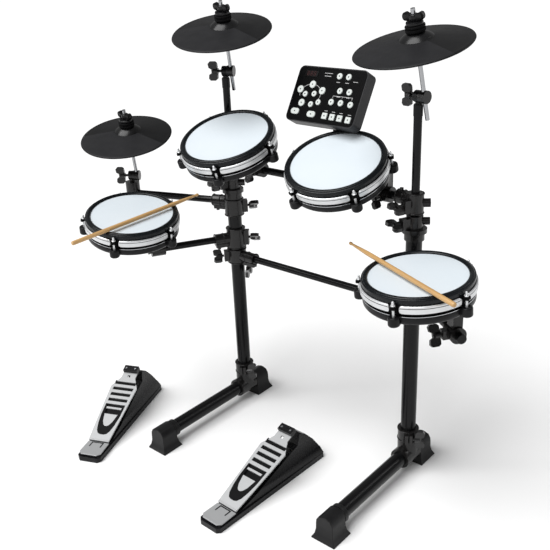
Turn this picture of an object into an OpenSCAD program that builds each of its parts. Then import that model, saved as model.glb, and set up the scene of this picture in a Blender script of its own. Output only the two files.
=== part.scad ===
// Compact electronic drum kit: a two-post tube rack with four mesh-head pads,
// three rubber cymbal pads, a sound module, two foot pedals and a pair of sticks.
// Millimetres, +Z up, +Y away from the player. The origin is on the floor, under
// the middle of the whole kit.

/* [Rack] */
// Distance between the two posts
post_span = 570; // [520:1:620]
// Place of the rack's middle along X
rack_x = 71.55; // [40:0.01:80]
// Place of the rack's middle along Y
rack_y = 215.33; // [190:0.01:240]
// Diameter of the posts and base tubes
tube_d = 38; // [36:0.5:40]
// Diameter of the masts, arms and cross bars
bar_d = 19; // [18:0.5:20]
// Height of the base tubes' axis
base_z = 42; // [40:1:46]
// Height of the lower cross bar
lower_bar_z = 463; // [460:1:470]
// Height of the upper cross bar
upper_bar_z = 725; // [718:1:728]
// Height of the main posts
post_top = 654; // [650:1:658]

/* [Pads] */
// Radius of the visible mesh head
head_r = 104; // [100:1:106]
// Angle between neighbouring lugs
lug_step = 72; // [72:1:72]
// Depth of a pad from its head to its bottom
pad_depth = 56; // [54:1:60]

/* [Cymbals] */
// Radius of a cymbal pad
cymbal_r = 125; // [120:1:130]
// Height of the bell's top above the rim plane
bell_top = 27; // [25:1:29]

/* [Module] */
// Width of the sound module
module_w = 205; // [195:1:215]
// Height of the module's face
module_h = 138; // [130:1:145]
// Depth of the module
module_d = 33; // [30:1:40]

/* [Pedals] */
// Length of a pedal's base
pedal_l = 392; // [380:1:400]

/* [Sticks] */
// Length of a stick
stick_l = 385; // [370:1:406]

/* [Hidden] */
$fn = 48;
tube_r = tube_d / 2;
bar_r = bar_d / 2;
half_span = post_span / 2;
// running clearance of a clamp on its tube, and the gap between separate pieces
fit = 0.05;
gap = 0.3;
collar_r = tube_r + 7;
sleeve_r = bar_r + 6;
black = "#1d1d1f";
metal = "silver";
// bore of every round clamp face that meets a neighbouring clamp
clear_r = 24;

// Arms on the posts: [post side, height, direction, length]
hat_arm_at = [-1, 620, 198.5, 320];
tom3_arm_at = [-1, 516, -120, 245];
snare_arm_at = [1, 500, -35.7, 252];
// Their collars on the posts: [middle above the arm, height]
hat_collar = [-14.2, 47];
tom3_collar = [0, 58];
snare_collar = [11, 49];

// Pads: [centre of the head], [tilt, direction it leans to], angle of the first lug
snare_at = [[390, -159, 623], [5, -115], -10];
tom1_at = [[-176, -121, 838], [21, -80], 8];
tom2_at = [[123, -81, 809], [23, -80], 35];
tom3_at = [[-379, -278, 645], [11, -28], 10];
// Distance along its tube at which each pad's mount sits, from the post or the rack's middle
snare_mount_s = 222;
tom3_mount_s = 222;
tom1_mount_s = -185;
tom2_mount_s = 205;

// Cymbals: [hinge centre on its support], hinge direction, tilt, height of the rim above
// the hinge, middle direction of the strike zone, length of rod below the hinge
crash_left_at = [[-half_span, 0, 970], 26, 16, 109, -80, 52];
crash_right_at = [[half_span, 0, 954], -10, 14, 115, -98, 52];
hat_at = [[-588.5, -101.5, 672], 34, 14.5, 131, -67, 13];
rod_offset = 16;
// The bell sits behind the rim's middle, away from the playing sector
bell_offset = 14;
rod_r = 4.8;
rod_tip = 72;
strike_angle = 156;
bell_r = 36;
cone_z = 12;
skin = 4;
bell_rise = bell_top - cone_z;
bell_sphere = (bell_r * bell_r + bell_rise * bell_rise) / (2 * bell_rise);
bell_centre = bell_top - bell_sphere;

// Module: centre of its face, turn and lean
module_pos = [28, 13, 931];
module_turn = -2;
module_lean = 29.5;

// Pedals: heel position and heading
kick_pedal_at = [[-399, -508, 0], 24];
hat_pedal_at = [[44, -491, 0], -1];
board_hinge = [67, 22.5];
board_slope = 22;

// ---------- shared shapes ----------

module at_rack() {
    translate([rack_x, rack_y, 0]) children();
}

// Leans children by t[0] degrees towards the compass direction t[1]
module lean(p, t) {
    translate(p) rotate([0, 0, t[1]]) rotate([0, t[0], 0]) rotate([0, 0, -t[1]]) children();
}

// Lays a Z-axis shape along the horizontal direction a
module along(a) {
    rotate([0, 0, a]) rotate([0, 90, 0]) children();
}

module ring(ro, ri, h) {
    difference() {
        cylinder(r = ro, h = h);
        translate([0, 0, -1]) cylinder(r = ri, h = h + 2);
    }
}

module rounded_plate(w, l, r, h) {
    linear_extrude(h) {
        square([w - 2 * r, l], center = true);
        square([w, l - 2 * r], center = true);
        for (x = [-1, 1], y = [-1, 1])
            translate([x * (w / 2 - r), y * (l / 2 - r)]) circle(r = r);
    }
}

// Wing bolt along +Z: shank from z = 0, then the hub and its two paddles
module wing_bolt(shank, turn = 0) {
    cylinder(r = 3.5, h = shank + 1);
    translate([0, 0, shank]) cylinder(r = 8, h = 13);
    translate([0, 0, shank + 12]) rotate([0, 0, turn]) rotate([90, 0, 0]) translate([0, 0, -4.5]) linear_extrude(9)
        polygon([[-4, -7], [4, -7], [9, -11], [20, -10], [24, -5], [24, 9], [19, 13.5], [9, 12], [5, 5],
                 [-5, 5], [-9, 12], [-19, 13.5], [-24, 9], [-24, -5], [-20, -10], [-9, -11]]);
}

// Clamp screw along +Z with a round head
module clamp_screw() {
    cylinder(r = 4.5, h = 5);
}

// Collar on a post with a split lug at one side, its middle at z = 0
module collar(ro, ri, h, lug_dir) {
    difference() {
        union() {
            translate([0, 0, -h / 2]) cylinder(r = ro, h = h);
            rotate([0, 0, lug_dir]) translate([ro - 4, -9, -h * 0.4]) cube([15, 18, h * 0.8]);
        }
        translate([0, 0, -h]) cylinder(r = ri, h = 2 * h);
        rotate([0, 0, lug_dir]) translate([0, -1.5, -h]) cube([ro + 20, 3, 2 * h]);
    }
}

// Tee clamp: a collar on the post, of height h with its middle at z, and a sleeve at z = 0
// that grips a bar leaving in direction a
module tee_clamp(z, h, a, reach, lug_dir) {
    difference() {
        union() {
            cylinder_from(z - h / 2, z + h / 2, collar_r);
            difference() {
                union() {
                    along(a) cylinder(r = sleeve_r, h = reach);
                    rotate([0, 0, a]) translate([collar_r - 4, -7, -sleeve_r - 8]) cube([reach - collar_r + 1, 14, 14]);
                }
                cylinder_from(z + h / 2, 60, clear_r);
                cylinder_from(-60, z - h / 2, collar_r + gap);
            }
            rotate([0, 0, lug_dir]) translate([collar_r - 5, -10, z - h * 0.35]) cube([16, 20, h * 0.7]);
        }
        translate([0, 0, -80]) cylinder(r = tube_r + fit, h = 160);
        along(a) translate([0, 0, tube_r + 4]) cylinder(r = bar_r + fit, h = reach);
    }
}

// ---------- rack ----------

module post_at(side) {
    at_rack() translate([side * half_span, 0, 0]) children();
}

module main_tubes() color(black) for (s = [-1, 1]) post_at(s) {
    translate([0, 0, base_z + tube_r + 1]) ring(tube_r, tube_r - 2.5, post_top - base_z - tube_r - 1);
    translate([0, foot_y[1] + 15, base_z]) rotate([90, 0, 0]) ring(tube_r, tube_r - 2.5, foot_y[1] - foot_y[0] + 32);
}

module lower_bar() color(black) at_rack()
    translate([-half_span + tube_r + 6, 0, lower_bar_z]) along(0) cylinder(r = bar_r, h = post_span - tube_d - 12);

foot_y = [-331, 52];
foot_w = 66;
foot_top = 24;

// Half of a foot's outline from its crown down to the flared edge
foot_side = [[0, foot_top + base_z], [17, 62], [23, 52], [foot_top, base_z], [24.5, 26], [27, 13], [foot_w / 2, 2.5], [foot_w / 2, 0]];

module foot_outline() {
    polygon([for (p = foot_side) p, [0, 0]]);
    mirror([1, 0]) polygon([for (p = foot_side) p, [0, 0]]);
    translate([0, base_z]) circle(r = foot_top);
    translate([-1, 0]) square([2, base_z]);
}

// Rubber foot: a saddle around the tube's end whose four sides flare out at the floor,
// with a sleeve on the tube behind it
module foot(dir) {
    difference() {
        union() {
            intersection() {
                translate([0, foot_w / 2, 0]) rotate([90, 0, 0]) linear_extrude(foot_w) foot_outline();
                translate([-foot_w / 2, 0, 0]) rotate([90, 0, 90]) linear_extrude(foot_w)
                    polygon([[-33, 0], [-33, 2.5], [-28, 13], [-25.5, 26], [-25, 70], [25, 70], [25.5, 26], [28, 13],
                             [33, 2.5], [33, 0]]);
            }
            if (dir > 0) translate([0, 40, base_z]) rotate([90, 0, 0]) cylinder(r = foot_top - 0.5, h = 30);
        }
        translate([0, dir * 33, base_z]) rotate([90, 0, 0]) translate([0, 0, -52]) cylinder(r = tube_r + fit, h = 104);
    }
}

module feet() color("#26262a") for (s = [-1, 1]) post_at(s) {
    translate([0, foot_y[0], 0]) foot(1);
    translate([0, foot_y[1], 0]) foot(-1);
}

leg_collar_z = 102;

// The tee that joins a post to its base tube
module leg_tee() {
    difference() {
        union() {
            translate([0, 24, base_z]) rotate([90, 0, 0]) cylinder(r = collar_r, h = 62);
            cylinder_from(base_z, 85, collar_r);
        }
        translate([0, 60, base_z]) rotate([90, 0, 0]) cylinder(r = tube_r + fit, h = 120);
        translate([0, 0, base_z + tube_r + 1]) cylinder(r = tube_r + fit, h = 120);
        translate([-40, -60, -10]) cube([80, 120, 16]);
    }
}

module cylinder_from(z0, z1, r) {
    translate([0, 0, z0]) cylinder(r = r, h = z1 - z0);
}

// Direction of the clamps' bolts above the posts, and of the round nuts opposite
grip_dir = -115;
knob_dir = 35;

// Reducer at a post's top, where the mast slides in: sleeve, flange and split collar
module reducer(lug_dir) {
    difference() {
        union() {
            cylinder_from(post_top - 24, post_top + 2, clear_r - 0.5);
            cylinder_from(post_top - 6, post_top + 4, collar_r + 3);
            cylinder_from(post_top + 2, post_top + 34, tube_r + 0.5);
            rotate([0, 0, lug_dir]) translate([tube_r - 4, -9, post_top + 6]) cube([22, 18, 24]);
            translate([0, 0, post_top + 20]) along(knob_dir) cylinder(r = 9, h = 34);
        }
        cylinder_from(post_top - 30, post_top, tube_r + fit);
        cylinder_from(post_top - 1, post_top + 60, bar_r + fit);
        rotate([0, 0, lug_dir]) translate([0, -1.5, post_top + 5]) cube([60, 3, 40]);
    }
}

module fixed_clamps() color(black) {
    for (s = [-1, 1]) post_at(s) {
        leg_tee();
        translate([0, 0, leg_collar_z]) collar(collar_r, tube_r + fit, 32, -55);
        translate([0, 0, lower_bar_z]) tee_clamp(0, 42, s < 0 ? 0 : 180, 70, -130);
        reducer(grip_dir);
    }
}

// Wing bolts of the clamps that stay with the posts
module wing_bolts() color(black) for (s = [-1, 1]) post_at(s) {
    translate([0, 0, leg_collar_z]) rotate([0, 0, -55]) translate([collar_r + 5, 10, 0])
        rotate([-90, 0, 0]) wing_bolt(4, 90);
    translate([0, 0, lower_bar_z]) along(-130) translate([0, 0, collar_r + 12]) wing_bolt(4, 70);
    translate([-s * 42, 0, lower_bar_z - sleeve_r - 8.1]) rotate([180, 0, 0]) wing_bolt(5, 62);
    translate([0, 0, post_top + 18]) along(grip_dir) translate([0, 0, tube_r + 18.1]) wing_bolt(4, 80);
}

// ---------- upper frame ----------

mast_bottom = 470;

module masts() color(black) for (c = [crash_left_at, crash_right_at]) at_rack() {
    p = c[0];
    difference() {
        union() {
            translate([p.x, p.y, mast_bottom]) cylinder(r = bar_r, h = p.z - mast_bottom - 16);
            translate([p.x, p.y, p.z - 17]) cylinder(r = 6.7, h = 9);
            translate([p.x, p.y, p.z - 42]) cylinder(r = bar_r + 1, h = 24);
            translate(p) along(c[1]) translate([0, 0, -7]) cylinder(r = 13, h = 14);
        }
        translate(p) along(c[1]) translate([0, 0, -20]) cylinder(r = 3.5 + fit, h = 40);
    }
}

module upper_bar() color(black) at_rack()
    translate([-half_span + bar_r + 6, 0, upper_bar_z]) along(0) cylinder(r = bar_r, h = post_span - bar_d - 12);

module upper_clamp(a) {
    h = 48;
    difference() {
        union() {
            translate([0, 0, -h / 2 - 8]) cylinder(r = bar_r + 10, h = h);
            along(a) cylinder(r = sleeve_r + 1, h = 46);
            rotate([0, 0, grip_dir]) translate([10, -9, -28]) cube([22, 18, 30]);
            translate([0, 0, -8]) along(knob_dir) cylinder(r = 10, h = 34);
        }
        translate([0, 0, -h]) cylinder(r = bar_r + fit, h = 2 * h);
        along(a) translate([0, 0, bar_r + 5]) cylinder(r = bar_r + fit, h = 60);
    }
}

module upper_clamps() color(black) for (s = [-1, 1]) post_at(s) translate([0, 0, upper_bar_z]) {
    upper_clamp(s < 0 ? 0 : 180);
    translate([0, 0, -14]) along(grip_dir) translate([0, 0, 32.1]) wing_bolt(5, 80);
    translate([-s * 36, 0, sleeve_r + 1.1]) clamp_screw();
}

// ---------- arms on the posts ----------

module on_post(at) {
    post_at(at[0]) translate([0, 0, at[1]]) children();
}

module arm_clamp(at, c, lug_dir) color(black) on_post(at) {
    tee_clamp(c.x, c.y, at[2], 62, lug_dir);
    translate([0, 0, c.x]) along(lug_dir) translate([0, 0, collar_r + 11.1]) wing_bolt(4, 55);
    rotate([0, 0, at[2]]) translate([50, 0, -sleeve_r - 8.1]) rotate([180, 0, 0]) clamp_screw();
}

module arm_tube(at) color(black) on_post(at) along(at[2]) {
    translate([0, 0, tube_r + 5]) cylinder(r = bar_r, h = at[3] - tube_r - 5);
    translate([0, 0, at[3] + 0.1]) cylinder(r = bar_r + 1.2, h = 5);
}

module hat_clamp() arm_clamp(hat_arm_at, hat_collar, 50);
module tom3_clamp() arm_clamp(tom3_arm_at, tom3_collar, 35);
module snare_clamp() arm_clamp(snare_arm_at, snare_collar, 100);

// The arm ends in a socket block that carries the hi-hat's tilter
module hat_arm() {
    arm_tube(hat_arm_at);
    color(black) at_rack() difference() {
        p = hat_at[0];
        union() {
            translate([p.x, p.y, hat_arm_at[1] - 16]) cylinder(r = 20, h = 50);
            translate(p) along(hat_at[1]) translate([0, 0, -7]) cylinder(r = 13, h = 14);
            translate([p.x, p.y, p.z - 22]) cylinder(r = 6.7, h = 14);
        }
        on_arm_axis(hat_arm_at) cylinder(r = bar_r + 1.4, h = hat_arm_at[3] + 6);
        translate(p) along(hat_at[1]) translate([0, 0, -20]) cylinder(r = 3.5 + fit, h = 40);
    }
}

module on_arm_axis(at) {
    translate([at[0] * half_span, 0, at[1]]) along(at[2]) children();
}

module tom3_arm() arm_tube(tom3_arm_at);
module snare_arm() arm_tube(snare_arm_at);

// ---------- cymbals ----------

// Frame of a cymbal's rod: Z along the rod, zero in the rim plane
module on_rod(c) {
    at_rack() translate(c[0]) rotate([0, 0, c[1]]) translate([rod_offset, 0, 0])
        rotate([c[2], 0, 0]) translate([0, 0, c[3]]) rotate([0, 0, -c[1]]) children();
}

module cymbal_rod(c) {
    color(metal) on_rod(c) translate([0, 0, -c[3] - c[5]]) cylinder(r = rod_r, h = c[3] + c[5] + rod_tip);
    color(black) at_rack() translate(c[0]) rotate([0, 0, c[1]]) rotate([c[2], 0, 0]) {
        difference() {
            translate([7 + fit, 0, 0]) rotate([0, 90, 0]) cylinder(r = 14, h = 17);
            translate([rod_offset, 0, -30]) cylinder(r = rod_r + fit, h = 60);
        }
        translate([-8, 0, 0]) rotate([0, 90, 0]) cylinder(r = 3.5, h = 15.1);
        translate([-7 - fit, 0, 0]) rotate([0, -90, 0]) wing_bolt(12, 10);
    }
}

// Soft washers above and below the bell, the stopper and the wing nut
module cymbal_fittings(c) on_rod(c) {
    color("#161616") difference() {
        union() {
            cylinder_from(bell_top - 6, bell_top + 12, 21);
            cylinder_from(bell_top - 22, bell_top + 2, 13);
            cylinder_from(bell_top - 34, bell_top - 22, 7);
        }
        difference() {
            translate([0, 0, bell_centre]) sphere(r = bell_sphere + gap);
            translate([0, 0, bell_centre]) sphere(r = bell_sphere - skin - gap);
        }
        cylinder_from(-60, 90, rod_r + fit);
    }
    color("#161616") difference() {
        cylinder_from(bell_top + 12.1, bell_top + 20, 18);
        cylinder_from(-60, 90, rod_r + fit);
    }
    color(black) translate([0, 0, bell_top + 20.1]) difference() {
        union() {
            cylinder(r = 11, h = 12);
            rotate([90, 0, 0]) translate([0, 0, -7]) linear_extrude(14)
                polygon([[-20, 1], [20, 1], [24, 6], [24, 14], [21, 18], [13, 18], [9, 11], [-9, 11], [-13, 18],
                         [-21, 18], [-24, 14], [-24, 6]]);
        }
        translate([0, 0, -5]) cylinder(r = rod_r + fit, h = 40);
    }
}

// Rubber cymbal with a raised playing sector and a spherical bell
module cymbal(c) color("#333336") on_rod(c) difference() {
    union() {
        rotate([0, 0, c[4]]) translate([bell_offset, 0, 0]) rotate_extrude($fn = 96) difference() {
            polygon([[0, -2], [cymbal_r - 1.5, -2.5], [cymbal_r, -0.5], [cymbal_r - 1.5, 1.5],
                     [bell_r, cone_z], [0, cone_z]]);
            polygon([[-1, -8], [cymbal_r - 9, -8], [cymbal_r - 12, -1], [bell_r, cone_z - skin], [-1, cone_z - skin]]);
        }
        intersection() {
            translate([0, 0, bell_centre]) sphere(r = bell_sphere);
            cylinder_from(cone_z - skin + 1, 60, bell_r - 0.6);
        }
        rotate([0, 0, c[4]]) translate([bell_offset, 0, 0]) rotate([0, 0, -strike_angle / 2])
            rotate_extrude(angle = strike_angle, $fn = 96)
                polygon([[bell_r - 6, 9], [cymbal_r - 2, 0], [cymbal_r - 2, 2.6], [bell_r - 6, cone_z + 2]]);
    }
    translate([0, 0, bell_centre]) sphere(r = bell_sphere - skin);
    cylinder_from(-20, 60, 8.5);
}

module crash_left_rod() cymbal_rod(crash_left_at);
module crash_left_fittings() cymbal_fittings(crash_left_at);
module crash_left_cymbal() cymbal(crash_left_at);
module crash_right_rod() cymbal_rod(crash_right_at);
module crash_right_fittings() cymbal_fittings(crash_right_at);
module crash_right_cymbal() cymbal(crash_right_at);
module hat_rod() cymbal_rod(hat_at);
module hat_fittings() cymbal_fittings(hat_at);
module hat_cymbal() cymbal(hat_at);

// ---------- pads ----------

rim_r = head_r + 14;
skirt_r = rim_r - 4;
hoop_z = -10;
hoop_h = 21;
lug_r = rim_r + 4;
ear_z = -18;
lug_low = -54;
lug_high = -34;

module on_pad(pad) {
    at_rack() lean(pad[0], pad[1]) children();
}

module at_lugs(pad) {
    for (i = [0:4]) rotate([0, 0, pad[2] + i * lug_step]) translate([lug_r + 2, 0, 0]) children();
}

// Mesh head: a disc with its collar pulled down over the shell
module pad_head(pad) color("white") on_pad(pad) {
    cylinder_from(-1.5, 0, skirt_r - 1.4);
    translate([0, 0, -10]) ring(skirt_r - 1.4, skirt_r - 2.8, 9);
}

// Rubber cover over the hoop
module pad_rim(pad) color("#202226") on_pad(pad) rotate_extrude($fn = 96) {
    translate([head_r, 0.1]) square([rim_r - head_r, 1.9]);
    translate([skirt_r + 0.3, hoop_z]) square([rim_r - skirt_r - 0.3, 2 - hoop_z - 0.5]);
    intersection() {
        translate([head_r + 7, -2]) circle(r = 7);
        translate([head_r, 1]) square([14, 9]);
    }
}

// Metal hoop with a bright band, five ears and five tension bolts
module pad_hoop(pad) on_pad(pad) {
    color(metal) difference() {
        union() {
            translate([0, 0, hoop_z - hoop_h]) ring(rim_r + 4, skirt_r + 0.3, hoop_h - 0.1);
            at_lugs(pad) translate([-5, -7, ear_z]) cube([12, 14, hoop_z - ear_z - 0.6]);
        }
        at_lugs(pad) translate([0, 0, -40]) cylinder(r = 3.2, h = 40);
    }
    color(metal) at_lugs(pad) {
        cylinder_from(lug_low + 4, hoop_z + 1, 3);
        cylinder_from(hoop_z, hoop_z + 2, 5);
        cylinder_from(hoop_z + 2, hoop_z + 10, 2.8);
    }
}

// Shell: bearing wall, base ring, floor and five lugs
module pad_shell(pad) color(black) on_pad(pad) difference() {
    union() {
        cylinder_from(-pad_depth, -1.6, skirt_r - 3);
        cylinder_from(-pad_depth, -35, rim_r);
        at_lugs(pad) {
            cylinder_from(lug_low, lug_high, 12.5);
            translate([-18, -12.5, lug_low]) cube([18, 25, lug_high - lug_low]);
        }
    }
    cylinder_from(-pad_depth + 3, 5, skirt_r - 7);
    at_lugs(pad) translate([0, 0, lug_low + 3]) cylinder(r = 3.2, h = 60);
}

// Trigger under the head: pillar, carrier bar, sensor disc and foam cone
module pad_trigger(pad) color("#3a3a40") on_pad(pad) {
    cylinder_from(-pad_depth + 3.1, -36, 12);
    translate([-90, -12, -36]) cube([180, 24, 3]);
    cylinder_from(-34, -31, 17);
    translate([0, 0, -31]) cylinder(r1 = 15, r2 = 8, h = 29);
}

// Mount: a clamp that grips the tube with axis at [p, direction], a leg and a plate
module pad_mount(pad, p, a) color(black) {
    difference() {
        union() {
            at_rack() translate(p) along(a) translate([0, 0, -19]) cylinder(r = sleeve_r + 3, h = 38);
            intersection() {
                at_rack() translate(p) rotate([0, 0, a]) translate([-14, -11, 0]) cube([28, 22, 150]);
                on_pad(pad) cylinder_from(-200, -pad_depth - 0.1, rim_r + 10);
            }
            intersection() {
                at_rack() translate(p) rotate([0, 0, a]) translate([-24, -20, 0]) cube([48, 40, 150]);
                on_pad(pad) cylinder_from(-pad_depth - 7, -pad_depth - 0.1, rim_r - 6);
            }
            at_rack() translate(p) rotate([0, 0, a]) translate([-9, -sleeve_r - 14, -10]) cube([18, 18, 20]);
        }
        at_rack() translate(p) along(a) translate([0, 0, -60]) cylinder(r = bar_r + fit, h = 120);
    }
    at_rack() translate(p) along(a - 90) translate([0, 0, sleeve_r + 14.1]) wing_bolt(3, 25);
}

function on_arm(at, s) = [at[0] * half_span + s * cos(at[2]), s * sin(at[2]), at[1]];

module snare_head() pad_head(snare_at);
module snare_rim() pad_rim(snare_at);
module snare_hoop() pad_hoop(snare_at);
module snare_shell() pad_shell(snare_at);
module snare_trigger() pad_trigger(snare_at);
module snare_mount() pad_mount(snare_at, on_arm(snare_arm_at, snare_mount_s), snare_arm_at[2]);
module tom1_head() pad_head(tom1_at);
module tom1_rim() pad_rim(tom1_at);
module tom1_hoop() pad_hoop(tom1_at);
module tom1_shell() pad_shell(tom1_at);
module tom1_trigger() pad_trigger(tom1_at);
module tom1_mount() pad_mount(tom1_at, [tom1_mount_s, 0, upper_bar_z], 0);
module tom2_head() pad_head(tom2_at);
module tom2_rim() pad_rim(tom2_at);
module tom2_hoop() pad_hoop(tom2_at);
module tom2_shell() pad_shell(tom2_at);
module tom2_trigger() pad_trigger(tom2_at);
module tom2_mount() pad_mount(tom2_at, [tom2_mount_s, 0, upper_bar_z], 0);
module tom3_head() pad_head(tom3_at);
module tom3_rim() pad_rim(tom3_at);
module tom3_hoop() pad_hoop(tom3_at);
module tom3_shell() pad_shell(tom3_at);
module tom3_trigger() pad_trigger(tom3_at);
module tom3_mount() pad_mount(tom3_at, on_arm(tom3_arm_at, tom3_mount_s), tom3_arm_at[2]);

// ---------- sound module ----------

// Frame of the module's face: X right, Y up the face, Z out of the face
module on_module() {
    at_rack() translate(module_pos) rotate([0, 0, module_turn]) rotate([90 - module_lean, 0, 0]) children();
}

corner_r = 14;
wall = 2.5;
panel_t = 3;
key_top = 3.5;
// Round keys: [x, y] as shares of the face's half width and half height, radius in mm
pad_keys_at = [[-0.46, 0.34, 9], [-0.78, 0.13, 9], [-0.13, 0.15, 9], [-0.63, -0.34, 9],
               [-0.6, -0.02, 7], [-0.34, 0.02, 7], [-0.15, -0.26, 7], [-0.35, -0.36, 7]];
menu_keys_at = [[0.24, 0.71, 7.5], [0.5, 0.71, 7.5], [0.37, 0.21, 7.5], [0.64, 0.2, 7.5],
                [0.22, -0.2, 7.5], [0.49, -0.2, 7.5], [0.77, -0.22, 7.5]];
// Square keys in the bottom row, and the two oval keys at the left
square_keys_at = [[0.15, -0.7], [0.37, -0.71], [0.59, -0.72], [0.83, -0.74]];
oval_keys_at = [[-0.75, -0.66], [-0.25, -0.7]];

module on_face(k) {
    translate([k.x * module_w / 2, k.y * module_h / 2]) children();
}

module oval(l, w) {
    for (x = [-1, 1]) translate([x * (l - w) / 2, 0]) circle(r = w / 2);
    square([l - w, w], center = true);
}

// Outlines of the two key groups, grown by a clearance c
module pad_key_shapes(c) {
    for (k = pad_keys_at) on_face(k) circle(r = k.z + c);
    for (k = oval_keys_at) on_face(k) oval(25 + 2 * c, 15 + 2 * c);
}

module menu_key_shapes(c) {
    for (k = menu_keys_at) on_face(k) circle(r = k.z + c);
    for (k = square_keys_at) on_face(k) square([15 + 2 * c, 15 + 2 * c], center = true);
}

module module_case() color("#2b2b2e") {
    case_shell();
    case_ears();
}

// Two ears behind the case and the pin between them
module case_ears() {
    difference() {
        union() {
            for (s = [-1, 1]) at_rack() translate(module_hinge) translate([s * 16.5, 0, 0]) along(0)
                translate([0, 0, -4]) cylinder(r = 9, h = 8);
            intersection() {
                for (s = [-1, 1]) at_rack() translate(module_hinge) translate([s * 16.5 - 4, -40, -9]) cube([8, 40, 18]);
                on_module() translate([-module_w / 2, -module_h / 2, -module_d - 60]) cube([module_w, module_h, 61]);
            }
        }
        on_module() translate([-module_w / 2, -module_h / 2, -module_d + 1]) cube([module_w, module_h, 60]);
    }
    at_rack() translate(module_hinge) along(0) translate([0, 0, -20.4]) cylinder(r = 4, h = 40.8);
}

module case_shell() on_module() difference() {
    translate([0, 0, -module_d]) rounded_plate(module_w, module_h, corner_r, module_d);
    translate([0, 0, -module_d + wall]) rounded_plate(module_w - 2 * wall, module_h - 2 * wall, corner_r - wall, module_d);
    for (x = [-60:20:60]) translate([x, module_h / 2 + 5, -20]) rotate([90, 0, 0]) cylinder(r = 4, h = 10);
}

module module_panel() color("#101012") on_module() translate([0, 0, -panel_t]) difference() {
    rounded_plate(module_w - 2 * wall - 0.2, module_h - 2 * wall - 0.2, corner_r - wall, panel_t + 1);
    translate([0, 0, -1]) linear_extrude(10) {
        pad_key_shapes(gap);
        menu_key_shapes(gap);
    }
    translate([-61, 50, 2]) cube([38.4, 16.4, 5], center = true);
}

module module_display() color("#050505") on_module()
    translate([-61, 50, -panel_t + 2.6]) cube([38, 16, 4], center = true);

module module_board() color("darkgreen") on_module()
    translate([0, 0, -16]) rounded_plate(module_w - 24, module_h - 24, 4, 1.6);

module pad_keys() color("gainsboro") on_module() translate([0, 0, -10]) linear_extrude(key_top + 10) pad_key_shapes(0);
module menu_keys() color("gainsboro") on_module() translate([0, 0, -10]) linear_extrude(key_top + 10) menu_key_shapes(0);

// Axis on which the module leans, behind its case
module_hinge = [module_pos.x, 58, 884];

// Clamp on the upper bar, upright leg, and the tilting hinge behind the case
module module_bracket() color(black) at_rack() {
    x = module_pos.x;
    difference() {
        union() {
            translate([x, 0, upper_bar_z]) along(0) translate([0, 0, -18]) cylinder(r = sleeve_r + 3, h = 36);
            translate([x - 12, 12, upper_bar_z - 10]) cube([24, module_hinge.y - 8, 8]);
            translate([x - 12, module_hinge.y - 3, upper_bar_z - 10]) cube([24, 7, module_hinge.z - upper_bar_z + 10]);
            translate(module_hinge) along(0) translate([0, 0, -12]) cylinder(r = 9, h = 24);
        }
        translate([x, 0, upper_bar_z]) along(0) translate([0, 0, -60]) cylinder(r = bar_r + fit, h = 120);
        translate(module_hinge) along(0) translate([0, 0, -60]) cylinder(r = 4 + fit, h = 120);
    }
}

// ---------- pedals ----------

module on_pedal(at) {
    at_rack() translate(at[0]) rotate([0, 0, at[1]]) children();
}

// Base plate, heel block and the flared housing that rises behind the footboard
module pedal_base() {
    linear_extrude(14) polygon([[-34, 8], [-26, 0], [26, 0], [34, 8], [34, 120], [41, pedal_l - 6],
        [36, pedal_l], [-36, pedal_l], [-41, pedal_l - 6], [-34, 120]]);
    intersection() {
        translate([-50, 0, 0]) rotate([90, 0, 90]) linear_extrude(100)
            polygon([[8, 13], [8, heel_z], [66, heel_z], [84, 17], [304, 76], [314, 102], [322, 103], [336, 94],
                     [362, 66], [pedal_l - 8, 32], [pedal_l - 3, 13]]);
        translate([0, pedal_l, 0]) rotate([90, 0, 0]) linear_extrude(pedal_l)
            polygon([[-40, 13], [-40, 15], [-30, 36], [-24, 70], [-20, 110], [20, 110], [24, 70], [30, 36], [40, 15], [40, 13]]);
        linear_extrude(120) polygon([[-30, 0], [30, 0], [31, 120], [40, pedal_l], [-40, pedal_l], [-31, 120]]);
    }
}

module pedal_bases() color(black) {
    on_pedal(kick_pedal_at) pedal_base();
    on_pedal(hat_pedal_at) pedal_base();
}

heel_z = 18;

// Bright heel plate screwed on the base
module heel_plate() {
    translate([0, 0, heel_z + 0.1]) linear_extrude(3)
        polygon([[-32, 15], [-23, 5], [23, 5], [32, 15], [31, 63], [-31, 63]]);
}

module heel_plates() color(metal) {
    on_pedal(kick_pedal_at) heel_plate();
    on_pedal(hat_pedal_at) heel_plate();
}

board_l = 254;
slot_pitch = 20;

// Footboard from its hinge pin to the toe, with five slots, a window and a toe clip
module footboard() translate([0, board_hinge.x, board_hinge.y]) rotate([board_slope, 0, 0]) {
    difference() {
        linear_extrude(4)
            polygon([[-30, 0], [30, 0], [33, 40], [41, 182], [22, 216], [22, board_l], [-22, board_l], [-22, 216],
                     [-41, 182], [-33, 40]]);
        for (i = [0:4]) translate([-33 + i, 190 - slot_pitch * i, -1]) cube([66 - 2 * i, 10.5, 6]);
        translate([-25, 86, -1]) cube([50, 18, 6]);
        translate([-4, board_l - 36, -1]) cube([8, 8, 6]);
    }
    translate([-22, board_l - 20, 4]) cube([44, 20, 10]);
    translate([-30, 0, 2]) rotate([0, 90, 0]) cylinder(r = 2.6, h = 60);
}

module kick_footboard() color(metal) on_pedal(kick_pedal_at) footboard();
module hat_footboard() color(metal) on_pedal(hat_pedal_at) footboard();

// ---------- sticks ----------

// A stick along +X from its butt, with a tapered shoulder and a bead tip
module stick() rotate([0, 90, 0]) {
    cylinder(r = 6.6, h = stick_l - 75);
    translate([0, 0, stick_l - 75]) cylinder(r1 = 6.6, r2 = 3.2, h = 64);
    translate([0, 0, stick_l - 6]) sphere(r = 4.8);
    translate([0, 0, stick_l - 13]) cylinder(r = 3.2, h = 8);
}

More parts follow.
